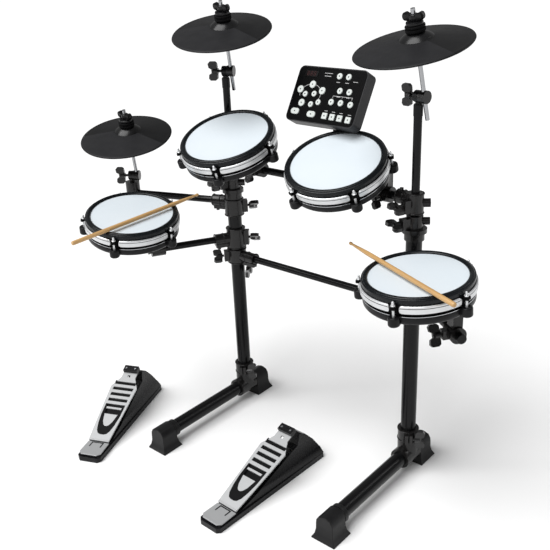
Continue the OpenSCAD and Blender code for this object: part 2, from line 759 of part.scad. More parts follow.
// Lays a stick on a pad's rim: heading on the pad, sideways offset, shift along itself
module stick_on(pad, heading, offset, shift) color("burlywood") on_pad(pad)
    rotate([0, 0, heading]) translate([shift - stick_l / 2, offset, 5 + 6.6 + gap]) stick();

module stick_left() stick_on(tom3_at, 84.5, -44, -9);
module stick_right() stick_on(snare_at, 156, 34, 24);

main_tubes();
lower_bar();
fixed_clamps();
wing_bolts();
feet();
masts();
upper_bar();
upper_clamps();
crash_left_rod();
crash_left_fittings();
crash_left_cymbal();
crash_right_rod();
crash_right_fittings();
crash_right_cymbal();
hat_clamp();
hat_arm();
hat_rod();
hat_fittings();
hat_cymbal();
tom3_clamp();
tom3_arm();
snare_clamp();
snare_arm();
snare_head();
snare_rim();
snare_hoop();
snare_shell();
snare_trigger();
snare_mount();
tom1_head();
tom1_rim();
tom1_hoop();
tom1_shell();
tom1_trigger();
tom1_mount();
tom2_head();
tom2_rim();
tom2_hoop();
tom2_shell();
tom2_trigger();
tom2_mount();
tom3_head();
tom3_rim();
tom3_hoop();
tom3_shell();
tom3_trigger();
tom3_mount();
module_case();
module_panel();
module_display();
module_board();
module_bracket();
pad_keys();
menu_keys();
pedal_bases();
heel_plates();
kick_footboard();
hat_footboard();
stick_left();
stick_right();
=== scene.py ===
import math
import bmesh
import bpy
from mathutils import Matrix, Vector


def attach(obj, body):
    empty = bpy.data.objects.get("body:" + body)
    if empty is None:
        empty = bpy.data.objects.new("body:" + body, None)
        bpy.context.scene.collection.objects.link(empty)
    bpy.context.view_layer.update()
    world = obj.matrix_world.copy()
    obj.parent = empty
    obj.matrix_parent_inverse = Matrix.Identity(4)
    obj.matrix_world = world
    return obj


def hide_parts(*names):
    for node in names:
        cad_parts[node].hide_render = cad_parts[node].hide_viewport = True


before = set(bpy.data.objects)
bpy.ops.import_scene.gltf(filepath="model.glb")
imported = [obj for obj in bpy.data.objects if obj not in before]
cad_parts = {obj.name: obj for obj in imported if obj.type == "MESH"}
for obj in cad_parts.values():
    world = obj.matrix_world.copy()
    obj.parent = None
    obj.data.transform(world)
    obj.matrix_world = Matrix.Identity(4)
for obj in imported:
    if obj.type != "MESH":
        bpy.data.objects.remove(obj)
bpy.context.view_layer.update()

MM = 0.001

# ---------------------------------------------------------------- placement, as in the CAD source
RACK = Vector((71.55, 215.33, 0.0)) * MM
PADS = {
    "snare": ((390, -159, 623), (5, -115), -10),
    "tom1": ((-176, -121, 838), (21, -80), 8),
    "tom2": ((123, -81, 809), (23, -80), 35),
    "tom3": ((-379, -278, 645), (11, -28), 10),
}
CYMBALS = {
    "crash_left": ((-285, 0, 970), 26, 16, 109, -80),
    "crash_right": ((285, 0, 954), -10, 14, 115, -98),
    "hat": ((-588.5, -101.5, 672), 34, 14.5, 131, -67),
}
ROD_OFFSET, BELL_OFFSET, CYMBAL_R, BELL_TOP, CONE_Z, BELL_R, SKIN = 16, 14, 125, 27, 12, 36, 4
PEDALS = {"kick_footboard": ((-399, -508), 24), "hat_footboard": ((44, -491), -1)}
BOARD_HINGE, BOARD_SLOPE, BOARD_L = (67, 22.5), 22, 254
MODULE_POS, MODULE_TURN, MODULE_LEAN = (28, 13, 931), -2, 29.5
MODULE_W, MODULE_H = 205, 138


def rot(axis, deg):
    return Matrix.Rotation(math.radians(deg), 4, axis)


def shift(x, y, z):
    return Matrix.Translation(Vector((x, y, z)) * MM)


AT_RACK = Matrix.Translation(RACK)


def pad_frame(name):
    (p, (tilt, way), phase) = PADS[name]
    return AT_RACK @ shift(*p) @ rot("Z", way) @ rot("Y", tilt) @ rot("Z", -way)


def rod_frame(name):
    (p, a, tilt, h, strike) = CYMBALS[name]
    return (AT_RACK @ shift(*p) @ rot("Z", a) @ shift(ROD_OFFSET, 0, 0) @ rot("X", tilt)
            @ shift(0, 0, h) @ rot("Z", -a))


def pedal_frame(name):
    (p, a) = PEDALS[name]
    return AT_RACK @ shift(p[0], p[1], 0) @ rot("Z", a)


def module_frame():
    return AT_RACK @ shift(*MODULE_POS) @ rot("Z", MODULE_TURN) @ rot("X", 90 - MODULE_LEAN)


# ---------------------------------------------------------------- materials
class Mat:
    """A node material with small helpers: each makes a node, links it and returns its output."""

    def __init__(self, name):
        self.m = bpy.data.materials.new(name)
        self.m.use_nodes = True
        self.nt = self.m.node_tree
        self.bsdf = self.nt.nodes["Principled BSDF"]
        self.tex = self.nt.nodes.new("ShaderNodeTexCoord").outputs["Object"]

    def node(self, kind, ins=None, **attrs):
        n = self.nt.nodes.new(kind)
        for k, v in attrs.items():
            setattr(n, k, v)
        for k, v in (ins or {}).items():
            if hasattr(v, "node"):
                self.nt.links.new(v, n.inputs[k])
            else:
                n.inputs[k].default_value = v
        return n

    def scaled(self, sx, sy, sz, rotation=(0, 0, 0)):
        return self.node("ShaderNodeMapping",
                         {"Vector": self.tex, "Scale": (sx, sy, sz), "Rotation": rotation}).outputs[0]

    def combine(self, a, b, operation):
        return self.node("ShaderNodeMath", {0: a, 1: b}, operation=operation).outputs[0]

    def noise(self, scale, detail=4, rough=0.55, vec=None):
        return self.node("ShaderNodeTexNoise", {"Vector": vec or self.tex, "Scale": scale, "Detail": detail,
                                                "Roughness": rough}).outputs["Fac"]

    def ramp(self, fac, stops):
        n = self.node("ShaderNodeValToRGB", {"Fac": fac})
        e = n.color_ramp.elements
        while len(e) < len(stops):
            e.new(0.5)
        for el, (pos, col) in zip(e, stops):
            el.position = pos
            el.color = (*col, 1) if len(col) == 3 else col
        return n.outputs["Color"]

    def grey(self, fac, lo, hi, a=0.3, b=0.7):
        return self.ramp(fac, [(a, (lo,) * 3), (b, (hi,) * 3)])

    def set(self, **ins):
        for k, v in ins.items():
            key = k.replace("_", " ")
            sock = self.bsdf.inputs[key]
            if hasattr(v, "node"):
                self.nt.links.new(v, sock)
            else:
                sock.default_value = (*v, 1) if isinstance(v, tuple) and len(v) == 3 else v
        return self

    def bump(self, height, strength, distance=0.0004):
        b = self.node("ShaderNodeBump", {"Height": height, "Strength": strength, "Distance": distance})
        self.nt.links.new(b.outputs[0], self.bsdf.inputs["Normal"])
        return self


def plastic(name, dark, light, rough=(0.38, 0.52), scale=60, grain=900, strength=0.02, spec=0.25):
    m = Mat(name)
    m.set(Base_Color=m.ramp(m.noise(scale), [(0.3, dark), (0.72, light)]),
          Roughness=m.grey(m.noise(scale * 2.3, 5), *rough), Specular_IOR_Level=spec)
    m.bump(m.noise(grain, 3, 0.6), strength, 0.0002)
    return m.m


def tube_paint(name):
    m = Mat(name)
    m.set(Base_Color=m.ramp(m.noise(25), [(0.3, (0.0032, 0.0032, 0.0035)), (0.75, (0.005, 0.005, 0.0055))]),
          Roughness=m.grey(m.noise(60, 3), 0.2, 0.25), Specular_IOR_Level=0.18)
    m.bump(m.noise(300, 2), 0.015, 0.0002)
    return m.m


def metal(name, base, rough=(0.08, 0.18), stretch=None, grain=0.15, metallic=1.0):
    m = Mat(name)
    vec = m.scaled(*stretch) if stretch else m.tex
    fac = m.noise(1.0 if stretch else 90, 6, 0.6, vec)
    dark = tuple(c * 0.94 for c in base)
    m.set(Base_Color=m.ramp(fac, [(0.3, dark), (0.7, base)]), Metallic=metallic,
          Roughness=m.grey(m.noise(1.7 if stretch else 45, 5, 0.6, vec), *rough))
    m.bump(fac, grain, 0.00005)
    return m.m


def mesh_cloth(name):
    m = Mat(name)
    a = m.node("ShaderNodeTexWave", {"Vector": m.tex, "Scale": 210.0, "Distortion": 0.4, "Detail": 1.0},
               wave_type="BANDS", bands_direction="X").outputs["Fac"]
    b = m.node("ShaderNodeTexWave", {"Vector": m.tex, "Scale": 210.0, "Distortion": 0.4, "Detail": 1.0},
               wave_type="BANDS", bands_direction="Y").outputs["Fac"]
    weave = m.combine(a, b, "MULTIPLY")
    tone = m.combine(m.noise(7, 3), m.combine(weave, 0.25, "MULTIPLY"), "ADD")
    m.set(Base_Color=m.ramp(tone, [(0.2, (0.58, 0.64, 0.685)), (0.95, (0.63, 0.68, 0.715))]),
          Roughness=m.grey(weave, 0.5, 0.7), Sheen_Weight=0.15, Sheen_Roughness=0.5)
    m.bump(weave, 0.25, 0.0003)
    return m.m


def maple(name):
    m = Mat(name)
    vec = m.scaled(120, 120, 5)
    fac = m.noise(1.0, 6, 0.62, vec)
    fine = m.noise(1.0, 3, 0.5, m.scaled(900, 900, 22))
    mix = m.combine(fac, m.combine(fine, 0.35, "MULTIPLY"), "ADD")
    tones = [(0.35, (0.33, 0.18, 0.06)), (0.6, (0.46, 0.27, 0.1)), (0.85, (0.55, 0.345, 0.15))]
    m.set(Base_Color=m.ramp(mix, tones),
          Roughness=m.grey(fine, 0.32, 0.5), Coat_Weight=0.2, Coat_Roughness=0.25)
    m.bump(fine, 0.2, 0.0002)
    return m.m


M = {
    "tube": tube_paint("gloss_black_tube"),
    "clamp": plastic("clamp_nylon",
                     (0.006, 0.0056, 0.0056), (0.01, 0.0093, 0.0092), (0.2, 0.26), spec=0.35),
    "clamp_metal": plastic("clamp_wing",
                           (0.008, 0.008, 0.008), (0.013, 0.013, 0.013), (0.16, 0.22), spec=0.5),
    "foot": plastic("foot_rubber",
                    (0.007, 0.007, 0.0075), (0.011, 0.011, 0.0115), (0.34, 0.42), 40, 700, 0.08, 0.18),
    "rim": plastic("rim_rubber",
                   (0.0035, 0.0045, 0.0055), (0.0055, 0.007, 0.0085), (0.24, 0.3), 50, 1200, 0.03, 0.2),
    "strike": plastic("cymbal_front",
                      (0.0135, 0.0135, 0.0148), (0.018, 0.018, 0.0195), (0.44, 0.52), 30, 1500, 0.1, 0.12),
    "edge": plastic("cymbal_rear",
                    (0.005, 0.005, 0.0055), (0.0075, 0.0075, 0.008), (0.32, 0.38), 30, 1200, 0.05, 0.12),
    "bell": plastic("cymbal_bell",
                    (0.005, 0.005, 0.0055), (0.0075, 0.0075, 0.008), (0.24, 0.3), 30, 1200, 0.02, 0.28),
    "washer": plastic("washer_felt",
                      (0.003, 0.003, 0.0033), (0.0055, 0.0055, 0.006), (0.6, 0.75), 200, 2500, 0.2, 0.08),
    "nut": plastic("wing_nut",
                   (0.0035, 0.0035, 0.004), (0.006, 0.006, 0.0065), (0.2, 0.26), spec=0.25),
    "shell": plastic("shell_plastic",
                     (0.0045, 0.0045, 0.005), (0.007, 0.007, 0.008), (0.3, 0.36), spec=0.18),
    # Painted-shade black, darker and flatter than the shell plastic: laid on the chrome band's groove and on
    # the hoop core that shows in the gaps round the band
    "dark": plastic("painted_shade_black",
                    (0.002, 0.002, 0.0022), (0.003, 0.003, 0.0033), (0.5, 0.65), spec=0.05),
    "foam": plastic("trigger_foam",
                    (0.03, 0.03, 0.034), (0.05, 0.05, 0.055), (0.8, 0.95), 300, 2500, 0.5, 0.15),
    "chrome": metal("hoop_chrome", (0.66, 0.67, 0.68), (0.3, 0.34), grain=0.0, metallic=0.6),
    "bolt": metal("bolt_steel", (0.55, 0.56, 0.58), (0.16, 0.22), grain=0.0),
    "rod": metal("rod_chrome", (0.36, 0.365, 0.375), (0.14, 0.2), grain=0.0),
    "plate": metal("pedal_plate", (0.39, 0.395, 0.4), (0.46, 0.56), (30, 900, 900), 0.05, 0.35),
    "cloth": mesh_cloth("mesh_head"),
    "wood": maple("maple"),
    "base": plastic("pedal_base",
                    (0.0035, 0.0035, 0.004), (0.006, 0.006, 0.007), (0.24, 0.3), spec=0.2),
    "inlay": plastic("pedal_inlay",
                     (0.002, 0.002, 0.0023), (0.0035, 0.0035, 0.004), (0.4, 0.5), spec=0.08),
    "case": plastic("module_case",
                    (0.018, 0.018, 0.0195), (0.025, 0.025, 0.0265), (0.36, 0.44), spec=0.18),
    "panel": plastic("module_panel",
                     (0.001, 0.001, 0.0012), (0.0016, 0.0016, 0.0018), (0.3, 0.36), spec=0.04),
    "glass": plastic("module_display",
                     (0.004, 0.0035, 0.0038), (0.006, 0.0052, 0.0056), (0.12, 0.16), spec=0.15),
    "digit": plastic("display_digits",
                     (0.05, 0.018, 0.018), (0.06, 0.022, 0.022), (0.5, 0.6), spec=0.1),
    "key": plastic("module_keys",
                   (0.52, 0.55, 0.53), (0.58, 0.61, 0.59), (0.3, 0.38), 60, 900, 0.02, 0.15),
    "print": plastic("panel_print", (0.45, 0.45, 0.45), (0.55, 0.55, 0.55), (0.5, 0.6), spec=0.1),
    "pcb": plastic("circuit_board", (0.008, 0.06, 0.02), (0.015, 0.1, 0.035), (0.4, 0.55)),
}

# ---------------------------------------------------------------- mesh helpers


def from_bm(name, bm, mats, angle=32):
    bmesh.ops.recalc_face_normals(bm, faces=bm.faces)
    for f in bm.faces:
        f.smooth = True
    for e in bm.edges:
        e.smooth = e.calc_face_angle(0.0) < math.radians(angle) if len(e.link_faces) == 2 else True
    me = bpy.data.meshes.new(name)
    bm.to_mesh(me)
    bm.free()
    o = bpy.data.objects.new(name, me)
    bpy.context.scene.collection.objects.link(o)
    for m in (mats if isinstance(mats, (list, tuple)) else [mats]):
        me.materials.append(m)
    return o


def done(o, body, slot, *nodes):
    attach(o, body)
    if nodes:
        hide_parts(*nodes)
    return o


def lathe_into(bm, matrix, prof, seg=96, a0=0.0, a1=360.0, mat=0, closed=True):
    """Revolves a closed profile of (r, z) in mm about Z; a part turn gets flat ends."""
    full = abs(a1 - a0) > 359.9
    n = seg if full else seg + 1
    rings = []
    for i in range(n):
        a = math.radians(a0 + (a1 - a0) * i / seg)
        c, s = math.cos(a), math.sin(a)
        rings.append([bm.verts.new(matrix @ (Vector((r * c, r * s, z)) * MM)) for r, z in prof])
    m = len(prof)
    last = m if closed else m - 1
    for i in range(n if full else n - 1):
        p, q = rings[i], rings[(i + 1) % n]
        for j in range(last):
            k = (j + 1) % m
            vs = [p[j], q[j], q[k], p[k]]
            if prof[j][0] < 1e-6 and prof[k][0] < 1e-6:
                continue
            f = bm.faces.new(vs)
            f.material_index = mat
    if not full and closed:
        bm.faces.new(rings[0][::-1]).material_index = mat
        bm.faces.new(rings[-1]).material_index = mat
    return rings


def finish_lathe(bm):
    bmesh.ops.remove_doubles(bm, verts=bm.verts, dist=2e-6)
    bmesh.ops.dissolve_degenerate(bm, edges=bm.edges, dist=1e-6)


def box_into(bm, matrix, lo, hi, bevel=0.0, mat=0, seg=2):
    corners = [(x, y, z) for x in (lo[0], hi[0]) for y in (lo[1], hi[1]) for z in (lo[2], hi[2])]
    vs = [bm.verts.new(matrix @ (Vector(c) * MM)) for c in corners]
    idx = [(0, 1, 3, 2), (4, 6, 7, 5), (0, 4, 5, 1), (2, 3, 7, 6), (0, 2, 6, 4), (1, 5, 7, 3)]
    fs = [bm.faces.new([vs[i] for i in t]) for t in idx]
    for f in fs:
        f.material_index = mat
    if bevel:
        es = list({e for f in fs for e in f.edges})
        bmesh.ops.bevel(bm, geom=es, offset=bevel * MM, segments=seg, profile=0.6, affect="EDGES")


def extrude_into(bm, matrix, outline, z0, z1, mat=0, bevel=0.0, seg=2):
    """A prism of an (x, y) outline in mm, the edges of both ends rounded."""
    lo = [bm.verts.new(matrix @ (Vector((x, y, z0)) * MM)) for x, y in outline]
    hi = [bm.verts.new(matrix @ (Vector((x, y, z1)) * MM)) for x, y in outline]
    n = len(outline)
    fs = [bm.faces.new(lo[::-1]), bm.faces.new(hi)]
    for i in range(n):
        fs.append(bm.faces.new([lo[i], lo[(i + 1) % n], hi[(i + 1) % n], hi[i]]))
    for f in fs:
        f.material_index = mat
    if bevel:
        rims = list(fs[0].edges) + list(fs[1].edges)
        bmesh.ops.bevel(bm, geom=rims, offset=bevel * MM, segments=seg, profile=0.6, affect="EDGES")


def cad_copy(node, name, mats, body, slot, bevel=0.8, angle=30, segments=2, classify=None):
    """The CAD node's mesh as a new piece: flat faces merged, edges rounded, materials given by classify."""
    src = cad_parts[node]
    bm = bmesh.new()
    bm.from_mesh(src.data)
    bmesh.ops.transform(bm, matrix=src.matrix_world, verts=bm.verts)
    bmesh.ops.remove_doubles(bm, verts=bm.verts, dist=1e-5)
    bmesh.ops.dissolve_limit(bm, angle_limit=math.radians(2.5), verts=bm.verts, edges=bm.edges)
    for f in bm.faces:
        f.material_index = 0
    if classify:
        for f in bm.faces:
            f.material_index = classify(f.calc_center_median(), f.normal)
    for f in bm.faces:
        f.smooth = True
    for e in bm.edges:
        e.smooth = e.calc_face_angle(0.0) < math.radians(angle) if len(e.link_faces) == 2 else True
    me = bpy.data.meshes.new(name)
    bm.to_mesh(me)
    bm.free()
    o = bpy.data.objects.new(name, me)
    bpy.context.scene.collection.objects.link(o)
    for m in (mats if isinstance(mats, (list, tuple)) else [mats]):
        me.materials.append(m)
    if bevel:
        b = o.modifiers.new("edges", "BEVEL")
        b.width = bevel * MM
        b.segments = segments
        b.limit_method = "ANGLE"
        b.angle_limit = math.radians(angle)
        b.use_clamp_overlap = True
        b.harden_normals = True
    return done(o, body, slot, node)


# ---------------------------------------------------------------- pads
LUG_AT, LUGS, LUG_STEP = 124, 5, 72
# Profiles of (r, z) in mm: the mesh head with its collar, the rubber rim, the shell
# and its bright trim line, one lug and one tension bolt
HEAD_PROFILE = [(0, -1.5), (111.2, -1.5), (111.2, -9.6), (112.5, -9.6), (112.5, 0), (0, 0)]
RIM_PROFILE = [(104, 0.1), (104.1, 1.3), (105.2, 3.1), (107.4, 4.5), (110, 5), (112.6, 4.7),
               (114.2, 3.6), (114.9, 2.2), (116.6, 1.9), (117.6, 1.1), (118, -0.4), (118, -9.1),
               (117.4, -9.8), (114.4, -9.8), (114.4, 0.1)]
SHELL_PROFILE = [(0, -56), (107, -56), (111.5, -55.4), (115.2, -53.6), (117.4, -50.6), (118, -47), (118, -37),
                 (117.5, -36.2), (116.8, -36), (111, -36), (111, -1.7), (107, -1.7), (107, -53), (0, -53)]
TRIM_PROFILE = [(116.6, -36.5), (118.25, -36.5), (118.25, -35.5), (117.6, -35.1), (116.6, -35.1)]
LUG_PROFILE = [(0, -54), (9.6, -54), (11.5, -53.3), (12.4, -51.6), (12.5, -49), (12.5, -37),
               (12.1, -35.2), (11, -34.2), (9.8, -34), (5, -34), (4.2, -34.8), (3.9, -36.5), (0, -36.5)]
BOLT_PROFILE = [(0, -50), (2.7, -50), (2.7, -10.2), (4.9, -10.2), (5, -9.6), (5, -8.6), (4.5, -8.1),
                (2.8, -8), (2.8, -2.6), (2.4, -1), (1.5, -0.3), (0, -0.1)]


# The band's groove: its middle and half width, as a share of half the band's height
GROOVE_AT, GROOVE_HALF, GROOVE_DEPTH = 0.42, 0.05, 1.4
# The chrome band's top, bottom, inner radius, bulge and corner radius; degrees between a lug and a segment
BAND_TOP, BAND_BOTTOM, BAND_R, BAND_BULGE, BAND_CORNER = -10.5, -28.2, 119.2, 2.4, 5.0
BAND_GAP = 5.2


def chrome_segment(bm, f, a0, a1):
    """One segment of the chrome band: two flat ribs with a groove between them, and rounded ends; the groove
    and the rows beside it take material 1, the painted-shade black.
    """
    mid, half = (BAND_TOP + BAND_BOTTOM) / 2, (BAND_TOP - BAND_BOTTOM) / 2
    steps, rows = 44, 24
    arc = math.radians(a1 - a0) * 120
    cols = []
    for i in range(steps + 1):
        t = 0.5 - 0.5 * math.cos(math.pi * i / steps)
        s = min(t, 1 - t) * arc
        cut = max(0.0, BAND_CORNER - s)
        h = half - BAND_CORNER + math.sqrt(max(0.0, BAND_CORNER ** 2 - cut ** 2))
        a = math.radians(a0 + (a1 - a0) * t)
        col = []
        for j in range(rows + 1):
            u = -1 + 2 * j / rows
            edge = 1 - max(0.0, (abs(u) - 0.8) / 0.2) ** 2
            depth = GROOVE_DEPTH if abs(u - GROOVE_AT) < GROOVE_HALF else 0.0
            col.append((BAND_R + BAND_BULGE * edge - depth, mid + u * h))
        col += [(BAND_R - 0.5, mid + h), (BAND_R - 0.5, mid - h)]
        c, sn = math.cos(a), math.sin(a)
        cols.append([bm.verts.new(f @ (Vector((r * c, r * sn, z)) * MM)) for r, z in col])
    n = len(cols[0])
    for p, q in zip(cols, cols[1:]):
        for j in range(n):
            face = bm.faces.new([p[j], q[j], q[(j + 1) % n], p[(j + 1) % n]])
            u = -1 + (2 * j + 1) / rows
            # Material 1 is painted shade: the groove faces and their neighbouring rows are painted flat black
            face.material_index = 1 if abs(u - GROOVE_AT) < GROOVE_HALF + 1.4 / rows else 0
    bm.faces.new(cols[0][::-1])
    bm.faces.new(cols[-1])


def pad(name):
    f = pad_frame(name)
    phase = PADS[name][2]
    lugs = [f @ rot("Z", phase + LUG_STEP * i) @ shift(LUG_AT, 0, 0) for i in range(LUGS)]

    bm = bmesh.new()
    lathe_into(bm, Matrix.Identity(4), HEAD_PROFILE, 128)
    finish_lathe(bm)
    head = from_bm(name + "_mesh_head", bm, M["cloth"])
    head.matrix_world = f
    done(head, name, "mesh", name + "_head")

    bm = bmesh.new()
    lathe_into(bm, f, RIM_PROFILE, 144)
    done(from_bm(name + "_rubber_rim", bm, M["rim"], 50), name, "rim_rubber", name + "_rim")

    bm = bmesh.new()
    for i in range(LUGS):
        start = phase + LUG_STEP * i
        chrome_segment(bm, f, start + BAND_GAP, start + LUG_STEP - BAND_GAP)
    for lug in lugs:
        lathe_into(bm, lug, BOLT_PROFILE, 20)
    finish_lathe(bm)
    band = from_bm(name + "_chrome_band", bm, [M["chrome"], M["dark"]], 48)
    done(band, name, "hoop_chrome", name + "_hoop")

    # Hoop core and lug blocks under the chrome band: real black parts, given the darker, flatter
    # painted-shade black so the gaps round the band read as shade
    bm = bmesh.new()
    lathe_into(bm, f, [(114.4, -30.8), (118.6, -30.8), (118.6, -10.3), (114.4, -10.3)], 144)
    for lug in lugs:
        box_into(bm, lug, (-5, -6.5, -30.5), (-1.6, 6.5, -10.8), 1.0)
        box_into(bm, lug, (-5, -6, -17.8), (6.4, 6, -10.9), 1.4)
    done(from_bm(name + "_hoop_core", bm, M["dark"], 40), name, "shell_plastic")

    bm = bmesh.new()
    lathe_into(bm, f, SHELL_PROFILE, 144)
    finish_lathe(bm)
    for lug in lugs:
        lathe_into(bm, lug, LUG_PROFILE, 32)
        box_into(bm, lug, (-17, -11.6, -53.2), (-1, 11.6, -34.8), 1.5)
    finish_lathe(bm)
    lathe_into(bm, f, TRIM_PROFILE, 144, mat=1)
    shell = from_bm(name + "_shell_body", bm, [M["shell"], M["bolt"]], 50)
    done(shell, name, "shell_plastic", name + "_shell")

    cad_copy(name + "_trigger", name + "_sensor", M["foam"], name, "trigger_foam", 0.8)
    cad_copy(name + "_mount", name + "_clamp", M["clamp"], name, "clamp_plastic", 1.2)


for pad_name in PADS:
    pad(pad_name)

# ---------------------------------------------------------------- cymbals
BELL_RISE = BELL_TOP - CONE_Z
BELL_SPHERE = (BELL_R ** 2 + BELL_RISE ** 2) / (2 * BELL_RISE)
BELL_C = BELL_TOP - BELL_SPHERE
# Underside of a cymbal pad's edge: (distance in from the edge, z)
EDGE_BELOW = [(0, -0.4), (0.9, -1.8), (2.2, -2.4), (8, -2.4), (10, -1.2)]
ROD_R = 4.85
# Profiles of (r, z) on the rod: soft washers over the bell, stopper over them, sleeve below the bell
# and hub of the wing nut
WASHERS = [(ROD_R, 23.5), (12, 24.5), (19.6, 25.2), (20.8, 26.2), (21, 27.2), (21, 31.6), (20.4, 32.6),
           (19, 33), (20.4, 33.4), (21, 34.4), (21, 37.6), (20.4, 38.6), (19, 39), (ROD_R, 39)]
STOPPER = [(ROD_R, 39.2), (16.6, 39.2), (17.8, 40), (18, 41), (18, 44.6), (17.4, 46), (15.6, 46.9),
           (ROD_R, 47)]
SLEEVE_BELOW = [(ROD_R, -7), (6.6, -7), (7, -6.4), (7, 4.4), (12.4, 5), (13, 6), (13, 18.6), (12, 20),
                (ROD_R, 20)]
NUT_HUB = [(ROD_R, 47.1), (9.4, 47.1), (10, 48), (10, 58), (9, 60), (7.5, 61), (ROD_R, 61)]
# Right half of the wing nut's outline from its foot to its saddle, (x, y) in mm; the left half mirrors it
WING_HALF = [(9, 0.4), (19, 1.4), (22.6, 4), (23.9, 8), (23.6, 12.6), (21.4, 16.6), (17, 17.9), (13.4, 16.4),
             (10.4, 12), (6, 10.6)]
WING_NUT = [(-19, 1.4), (-9, 0.4)] + WING_HALF + [(-x, y) for x, y in WING_HALF[:1:-1]]


def cymbal(name):
    f = rod_frame(name)
    strike = CYMBALS[name][4]
    g = f @ rot("Z", strike)
    angles = sorted(set([2.0 * i for i in range(180)] + [71.6, 72.4, 287.6, 288.4]))
    inner = [8.6 + (BELL_R - 8.6) * i / 14 for i in range(15)]
    outer = [i / 34 for i in range(1, 35)]
    bm = bmesh.new()
    top, low = [], []
    for a in angles:
        t = math.radians(a)
        c, s = math.cos(t), math.sin(t)
        r_out = BELL_OFFSET * c + math.sqrt(CYMBAL_R ** 2 - (BELL_OFFSET * s) ** 2)
        in_zone = a < 72 or a > 288
        pts = [(r, BELL_C + math.sqrt(BELL_SPHERE ** 2 - r * r)) for r in inner]
        for q in outer:
            r = BELL_R + (r_out - BELL_R) * q
            z = CONE_Z * (1 - q) + 1.0 * q
            z += 1.2 * min(1.0, (r - BELL_R) / 3) * min(1.0, (r_out - r) / 3.5) if in_zone else 0.0
            z += 0.6 * math.exp(-((r_out - r - 5.5) / 1.2) ** 2) if not in_zone else 0.0
            pts.append((r, z))
        pts[-1] = (r_out - 0.7, 0.9)
        under = [(r_out - inset, z) for inset, z in EDGE_BELOW]
        for k in range(1, 9):
            q = k / 8
            under.append((BELL_R + (r_out - 12 - BELL_R) * (1 - q), CONE_Z * q - SKIN + 2.6 * (1 - q)))
        under += [(r, BELL_C + math.sqrt((BELL_SPHERE - SKIN) ** 2 - r * r)) for r in (30, 22, 14, 8.6)]
        top.append([bm.verts.new(g @ (Vector((r * c, r * s, z)) * MM)) for r, z in pts])
        low.append([bm.verts.new(g @ (Vector((r * c, r * s, z)) * MM)) for r, z in under])
    n = len(angles)
    for i in range(n):
        j = (i + 1) % n
        mid = (angles[i] + (angles[j] if j else 360.0)) / 2
        zone = mid < 72 or mid > 288
        p, q = top[i] + low[i], top[j] + low[j]
        for k in range(len(p)):
            kk = (k + 1) % len(p)
            face = bm.faces.new([p[k], q[k], q[kk], p[kk]])
            face.material_index = 2 if k < 14 else (0 if zone and k < 48 else 1)
    o = from_bm(name + "_pad", bm, [M["strike"], M["edge"], M["bell"]], 40)
    done(o, name, "cymbal_rubber", name + "_cymbal")

    stand = name + "_stand"
    bm = bmesh.new()
    lathe_into(bm, f, WASHERS, 64)
    lathe_into(bm, f, STOPPER, 48, mat=1)
    lathe_into(bm, f, SLEEVE_BELOW, 48)
    lathe_into(bm, f, NUT_HUB, 32, mat=1)
    extrude_into(bm, f @ shift(0, 0, 47.1) @ rot("X", 90) @ shift(0, 0, -6.6), WING_NUT, 0, 13.2, 1, 2.6, 3)
    o = from_bm(name + "_washers", bm, [M["washer"], M["nut"]], 40)
    done(o, stand, "rim_rubber", name + "_fittings")

    inv = f.inverted()

    def part_of_rod(c, normal):
        v = inv @ c / MM
        return 0 if math.hypot(v.x, v.y) < ROD_R + 0.4 else 1
    cad_copy(name + "_rod", name + "_rod_and_swivel", [M["rod"], M["clamp"]], stand, "rod_steel", 1.2,
             classify=part_of_rod)


for cymbal_name in CYMBALS:
    cymbal(cymbal_name)

# ---------------------------------------------------------------- rack
cad_copy("main_tubes", "posts_and_base_tubes", M["tube"], "stand", "rack_tube", 0.5)
cad_copy("lower_bar", "lower_cross_bar", M["tube"], "stand", "rack_tube", 0.5)
cad_copy("fixed_clamps", "post_clamps", M["clamp"], "stand", "clamp_plastic", 1.2)
cad_copy("wing_bolts", "post_wing_bolts", M["clamp_metal"], "stand", "clamp_plastic", 2.4, segments=3)
cad_copy("feet", "rubber_feet", M["foot"], "stand", "foot_rubber", 1.8, segments=3)
cad_copy("masts", "cymbal_masts", M["tube"], "upper_rack", "rack_tube", 0.6)
cad_copy("upper_bar", "upper_cross_bar", M["tube"], "upper_rack", "rack_tube", 0.5)
cad_copy("upper_clamps", "mast_clamps", M["clamp"], "upper_rack", "clamp_plastic", 1.6)
for arm in ("hat", "tom3", "snare"):
    cad_copy(arm + "_clamp", arm + "_tee", M["clamp"], arm + "_support", "clamp_plastic", 1.4)
cad_copy("tom3_arm", "tom3_tube", M["tube"], "tom3_support", "rack_tube", 0.6)
cad_copy("snare_arm", "snare_tube", M["tube"], "snare_support", "rack_tube", 0.6)
hat_socket = RACK + Vector((-588.5, -101.5, 0)) * MM
cad_copy("hat_arm", "hat_tube", [M["tube"], M["clamp"]], "hat_support", "rack_tube", 0.8,
         classify=lambda c, n: 1 if (Vector((c.x, c.y, 0)) - hat_socket).length < 0.022 else 0)


LIP = 3


def lips(name, body, rings, mat="clamp"):
    """Thin raised flanges round the ends of collars and sleeves: (matrix, radius, low, high) in mm."""
    bm = bmesh.new()
    for m, r, low, high in rings:
        for z in (low, high - LIP):
            outer = r + 1.5
            lathe_into(bm, m, [(r - 2, z), (outer - 0.7, z), (outer, z + 0.7), (outer, z + LIP - 0.7),
                               (outer - 0.7, z + LIP), (r - 2, z + LIP)], 64)
    done(from_bm(name, bm, M[mat], 50), body, "clamp_plastic")


HALF = 285
COLLAR_R, SLEEVE_R = 26, 15.5
left, right_post = AT_RACK @ shift(-HALF, 0, 0), AT_RACK @ shift(HALF, 0, 0)


def sleeve(post, z, way):
    return post @ shift(0, 0, z) @ rot("Z", way) @ rot("Y", 90)


